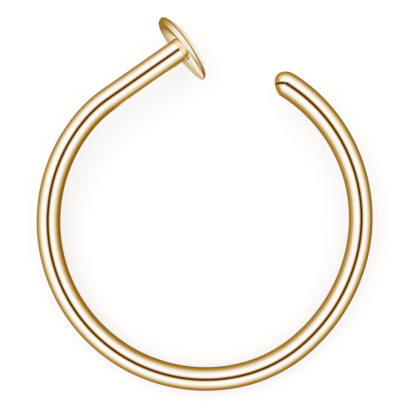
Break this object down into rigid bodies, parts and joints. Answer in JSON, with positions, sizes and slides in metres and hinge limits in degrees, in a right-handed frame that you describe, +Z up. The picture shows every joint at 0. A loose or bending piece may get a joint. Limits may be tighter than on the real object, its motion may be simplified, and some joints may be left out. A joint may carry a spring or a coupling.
{
  "type": "nose ring",
  "caption": "Open nose hoop of round polished gold-coloured wire, with a small domed disc on its straight end and a rounded free end.",
  "frame": {"origin": "middle of the footprint, on the surface that the ring rests on", "axes": "+Z up from the surface, with the hoop lying on its side; +Y towards the disc's end of the hoop; +X towards the side that the straight post points to"},
  "size_m": [0.0116, 0.0128, 0.0026],
  "materials": {
    "polished_gold": "polished, gold-coloured"
  },
  "bodies": {
    "root": {"nose_hoop": "polished_gold"}
  },
  "joints": []
}
